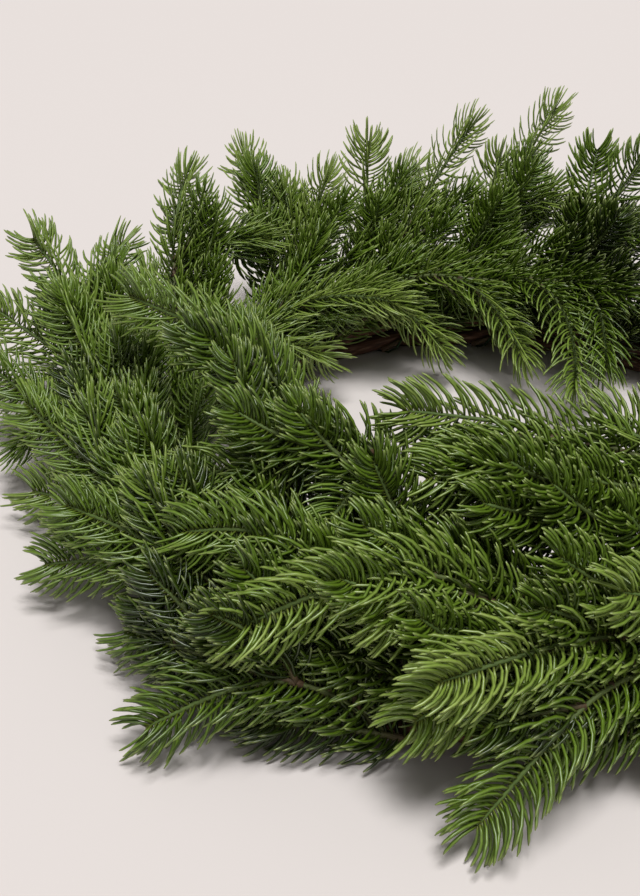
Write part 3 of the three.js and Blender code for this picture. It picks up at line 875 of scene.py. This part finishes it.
def kept_clear(twig, innermost):
    """A twig eased off the ring, off the ground and out of the wreath's hole."""
    hold = np.linspace(0, 1, len(twig)) ** 0.5
    degrees = np.degrees(np.arctan2(twig[:, 1], twig[:, 0]))
    off = twig - on_ring(degrees, RING_RADIUS, RING_HEIGHT)
    distance = np.linalg.norm(off, axis=1)
    short = np.maximum(TWIG_OFF_RING * hold - distance, 0)
    twig = twig + off * (short / distance)[:, None]
    radius = np.hypot(twig[:, 0], twig[:, 1])
    inside = np.maximum(innermost - radius, 0) / radius
    twig[:, :2] *= 1 + inside[:, None]
    twig[:, 2] = np.maximum(twig[:, 2], LOWEST_STEM * hold)
    for _ in range(SMOOTH_PASSES):
        twig[1:-1] = twig[1:-1] * 0.5 + (twig[:-2] + twig[2:]) * 0.25
    return twig


def frame_at(line, frames, distances):
    """The points of a line at distances along it, with its directions there."""
    places = along_line(line)
    point = line_at(line, distances)
    found = []
    for vectors in frames:
        v = np.stack([np.interp(distances, places, vectors[:, k]) for k in range(3)], axis=-1)
        found.append(v / np.linalg.norm(v, axis=-1)[..., None])
    return point, *found


def bent_stem(shape, line, frames, draw):
    """The straight stick laid along a stem's line, thinner towards its tip."""
    places = shape[0]
    length = along_line(line)[-1]
    at = places[:, 2]
    point, _, across, aside = frame_at(line, frames, at * length)
    radius = STEM_RADIUS + (STEM_TIP_RADIUS - STEM_RADIUS) * at**STEM_TAPER
    radius *= np.clip((1 - at) * STEM_END_SHARP, STEM_END_BLUNT, 1)
    radius *= 1 + STEM_ROUGH * draw.normal(size=len(at))
    round_it = across * places[:, :1] + aside * places[:, 1:2]
    around = np.abs(np.arctan2(places[:, 1], places[:, 0])) / math.pi
    u = STEM_STRIP[0] + STEM_STRIP[1] * around
    uv = np.stack([u, STRIP_FOOT + STRIP_LENGTH * at], axis=-1)
    return (point + round_it * radius[:, None])[None], uv[None]


def needle_stands(first, length, draw):
    """Where the needles stand: in even rows along the stem, every other row set half a
    step on, and twice as close at the tip. The rows part along the stem's face and its
    back. Gives distances along the stem and turns away from its face."""
    brush = min(BRUSH_TIP, (length - first) / 2)
    spaced = int(2 * (length - first - brush) / ROW_PITCH)
    close = int(4 * brush / ROW_PITCH)
    steps = np.arange(spaced + close)
    ends = [first, length - brush, length - LAST_NEEDLE]
    levels = np.interp(steps, [0, spaced, spaced + close - 1], ends)
    half_rows = NEEDLE_ROWS // 2
    rows = 2 * np.tile(np.arange(half_rows), len(steps)) + np.repeat(steps % 2, half_rows)
    distances = np.repeat(levels, half_rows)
    turn = 2 * math.pi * (rows + 0.5) / NEEDLE_ROWS
    turn += PARTING * np.sin(2 * turn) + draw.normal(0, ROW_WANDER, len(rows))
    return distances, turn


def needle_habit(tipness, curl, draw):
    """How far each needle leans from its stem and bends along its length, and its size."""
    count = len(tipness)
    base_lean = BASE_LEAN + (CURLED_LEAN - BASE_LEAN) * curl
    base_bend = BASE_BEND + (CURLED_BEND - BASE_BEND) * curl
    lean = base_lean + (TIP_LEAN - base_lean) * tipness + draw.normal(0, LEAN_SCATTER, count)
    bend = base_bend + (TIP_BEND - base_bend) * tipness + draw.normal(0, BEND_SCATTER, count)
    size = 1 + draw.normal(0, LENGTH_SCATTER, count) - TIP_SHORTER * tipness
    return np.radians(lean)[:, None], np.radians(bend)[:, None], size[:, None]


def grown_needles(shape, first, line, frames, draw, tone, curl, needle_length):
    """The straight needle copied in rows along a stem and bent forwards, each a little
    different. What would run into the ring is left out; what meets the ground lies on it."""
    places = shape[0]
    length = along_line(line)[-1]
    distances, turn = needle_stands(first, length, draw)
    count = len(distances)
    point, along, across, aside = frame_at(line, frames, distances)
    face = point * [1, 1, 0] / np.hypot(point[:, 0], point[:, 1])[:, None] + [0, 0, 1]
    faced = math.atan2(np.sum(face * aside), np.sum(face * across))
    curl = np.clip(curl + CLAW * np.cos(turn), 0, 1)
    out = across * np.cos(turn + faced)[:, None] + aside * np.sin(turn + faced)[:, None]
    tipness = np.clip((distances - length + BRUSH_TIP) / BRUSH_TIP, 0, 1) ** BRUSH_CURVE
    lean, bend, size = needle_habit(tipness, curl, draw)
    t = places[:, 2]
    angle = lean - bend * t
    middle = lean - bend * t / 2
    outwards = np.sin(middle) * t * (needle_length * size)
    forwards = np.cos(middle) * t * (needle_length * size)
    blade = np.interp(t, [0, *NEEDLE_CUTS, 1], NEEDLE_OUTLINE)
    wide = places[:, 0] * blade * NEEDLE_HALF_WIDTH * (1 + CURLED_WIDER * curl[:, None])
    thick = places[:, 1] * blade * NEEDLE_HALF_THICK
    flat_to_face = np.arctan2(np.sin(turn), FACE_SQUEEZE * np.cos(turn))
    roll = (flat_to_face + draw.normal(0, ROLL_SCATTER, count))[:, None]
    sideways = wide * np.cos(roll) - thick * np.sin(roll)
    normal = wide * np.sin(roll) + thick * np.cos(roll)
    side = np.cross(along, out)
    grown = point[:, None] + side[:, None] * sideways[..., None]
    grown += out[:, None] * (outwards + normal * np.cos(angle))[..., None]
    grown += along[:, None] * (forwards - normal * np.sin(angle))[..., None]
    degrees = np.degrees(np.arctan2(grown[..., 1], grown[..., 0]))
    off_ring = np.linalg.norm(grown - on_ring(degrees, RING_RADIUS, RING_HEIGHT), axis=-1)
    clear = np.all((off_ring > RING_CLEARANCE) | (t < NEEDLE_FOOT_ENDS), axis=1)
    low = FLOOR_CLEARANCE + np.abs(thick)
    grown[..., 2] = np.maximum(grown[..., 2], low)
    # Lighter towards the shoot's tip, darker at its base: partly own tone, partly painted
    # shade.
    grown_tone = tone + TIP_TONE_AND_PAINTED_SHADE * (distances / length - 0.5)
    tones = np.clip(grown_tone + draw.normal(0, NEEDLE_TONE_SCATTER, count), 0, 1)
    u = NEEDLE_STRIP[0] + NEEDLE_STRIP[1] * tones[:, None] + 0 * t
    v = STRIP_FOOT + STRIP_LENGTH * t + 0 * u
    return grown[clear], np.stack([u, v], axis=-1)[clear]


def copies_piece(name, groups):
    """One piece from groups of copies: (shape, places of each copy, its UVs)."""
    points, corners, sizes, uvs, slots = [], [], [], [], []
    offset = 0
    for (places, shape_corners, shape_sizes), copies, copy_uvs, slot in groups:
        count = len(copies)
        base = offset + np.arange(count)[:, None] * len(places)
        points.append(copies.reshape(-1, 3))
        corners.append((shape_corners[None] + base).ravel())
        sizes.append(np.tile(shape_sizes, count))
        uvs.append(copy_uvs[:, shape_corners].reshape(-1, 2))
        slots.append(np.full(len(shape_sizes) * count, slot))
        offset += count * len(places)
    points, corners, sizes = map(np.concatenate, (points, corners, sizes))
    mesh = bpy.data.meshes.new(name)
    mesh.vertices.add(len(points))
    mesh.vertices.foreach_set("co", points.ravel())
    mesh.loops.add(len(corners))
    mesh.loops.foreach_set("vertex_index", corners.astype(np.int32))
    mesh.polygons.add(len(sizes))
    starts = np.concatenate([[0], np.cumsum(sizes)[:-1]])
    mesh.polygons.foreach_set("loop_start", starts.astype(np.int32))
    mesh.polygons.foreach_set("material_index", np.concatenate(slots).astype(np.int32))
    mesh.polygons.foreach_set("use_smooth", np.ones(len(sizes), dtype=bool))
    uv_layer = mesh.uv_layers.new(name="OFBake")
    uv_layer.data.foreach_set("uv", np.concatenate(uvs).astype(np.float32).ravel())
    mesh.update()
    mesh.validate()
    piece = bpy.data.objects.new(name, mesh)
    bpy.context.scene.collection.objects.link(piece)
    return piece


stem_cuts = np.arange(1, STEM_SECTIONS) / STEM_SECTIONS
stem_shape = shape_of(straight_stick(STEM_SIDES, stem_cuts))
twig_cuts = np.arange(1, TWIG_STEM_SECTIONS) / TWIG_STEM_SECTIONS
twig_shape = shape_of(straight_stick(TWIG_STEM_SIDES, twig_cuts))
needle_shape = shape_of(straight_stick(NEEDLE_SIDES, NEEDLE_CUTS))
needle_green = needle_material()
young_bark = stem_material()
draw = np.random.default_rng(NEEDLE_SEED)
branch_parts = {}
ring_centre = np.array([RING_CENTRE.x, RING_CENTRE.y, 0])
for stem in stems:
    line = centre_line(stem)
    frames = frames_along(line)
    seat, station = stem["seat"], stem["station"]
    first_needle = FIRST_NEEDLE if stem["parent"] is None else SIDE_FIRST_NEEDLE
    # A branch's tone: its own, with painted light and shade added by seat and station.
    tone = LEADER_TONE + draw.normal(0, BRANCH_TONE_SCATTER) + TONE_AND_PAINTED_LIGHT[seat].get(station, 0)
    shoots = [(stem_shape, line, frames, first_needle, tone, NEEDLE_LENGTH)]
    for twig in side_twigs(line, frames, station in BUSHY[seat], draw):
        # A twig's needles are painted darker, partly their own tone and partly painted shade
        # inside the wreath.
        of_twig = (SIDE_FIRST_NEEDLE, tone - TWIG_TONE_AND_PAINTED_SHADE, NEEDLE_LENGTH * TWIG_NEEDLES)
        shoots.append((twig_shape, twig, frames_along(twig), *of_twig))
    curl = CURLED[seat].get(station, 0)
    parts = branch_parts.setdefault(f"{seat}_branch_{station}", [])
    for stick, line, frames, first, tone, reach in shoots:
        stem_copy, stem_uv = bent_stem(stick, line, frames, draw)
        needles, needle_uv = grown_needles(
            needle_shape, first, line, frames, draw, tone, curl, reach
        )
        parts.append((stick, stem_copy + ring_centre, stem_uv, 0))
        parts.append((needle_shape, needles + ring_centre, needle_uv, 1))
for node, parts in branch_parts.items():
    branch_piece = copies_piece(node.replace("branch", "fir_branch"), parts)
    branch_piece.data.materials.append(young_bark)
    branch_piece.data.materials.append(needle_green)
    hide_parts(node)
    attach(branch_piece, "root")

# ---------------------------------------------------------------- floor and light
# A plain matt floor, pale and a little warm, under one soft studio lamp that stands above
# and a little in front, with dim even light from all sides.
bpy.ops.object.select_all(action="DESELECT")
bpy.ops.mesh.primitive_plane_add(size=12, location=(0, 0, 0))
floor = bpy.context.object
floor.name = "floor"
floor_paint, _, _, floor_shader = new_material("pale floor")
floor_shader.inputs["Base Color"].default_value = (0.66, 0.61, 0.59, 1)
floor_shader.inputs["Roughness"].default_value = 0.9
floor.data.materials.append(floor_paint)

world = bpy.data.worlds.new("studio")
bpy.context.scene.world = world
world.use_nodes = True
world.node_tree.nodes["Background"].inputs["Color"].default_value = (1.0, 0.98, 0.95, 1)
world.node_tree.nodes["Background"].inputs["Strength"].default_value = 0.27


def add_sun(name, from_place, softness, strength):
    """A distant lamp that shines from a place towards the wreath."""
    lamp = bpy.data.lights.new(name, "SUN")
    lamp.angle = math.radians(softness)
    lamp.energy = strength
    holder = bpy.data.objects.new(name, lamp)
    bpy.context.scene.collection.objects.link(holder)
    holder.location = from_place
    holder.rotation_euler = (-holder.location).to_track_quat("-Z", "Y").to_euler()


add_sun("key", (0.12, -0.34, 1.6), 22, 3.12)
bpy.context.scene.view_settings.view_transform = "Standard"

# ---------------------------------------------------------------- camera
# The photograph's view: from in front and 32 degrees above, close enough that the
# wreath's right side and its furthest tips on the left run out of the picture.
FOCAL_PIXELS = 1290
IMAGE_HEIGHT = 896
SENSOR_LONG_SIDE = 36
CAMERA_RISE = math.radians(32)
CAMERA_DISTANCE = 0.80
AIM_FROM_CENTRE = (-0.109, 0.012, 0.03)

camera = bpy.data.objects.new("camera", bpy.data.cameras.new("camera"))
bpy.context.scene.collection.objects.link(camera)
camera.data.sensor_width = SENSOR_LONG_SIDE
camera.data.lens = FOCAL_PIXELS * SENSOR_LONG_SIDE / IMAGE_HEIGHT
camera.data.clip_start = 0.05
camera.data.clip_end = 50
camera.location = (
    RING_CENTRE.x + AIM_FROM_CENTRE[0],
    RING_CENTRE.y + AIM_FROM_CENTRE[1] - CAMERA_DISTANCE * math.cos(CAMERA_RISE),
    AIM_FROM_CENTRE[2] + CAMERA_DISTANCE * math.sin(CAMERA_RISE),
)
camera.rotation_euler = (math.pi / 2 - CAMERA_RISE, 0, 0)
bpy.context.scene.camera = camera
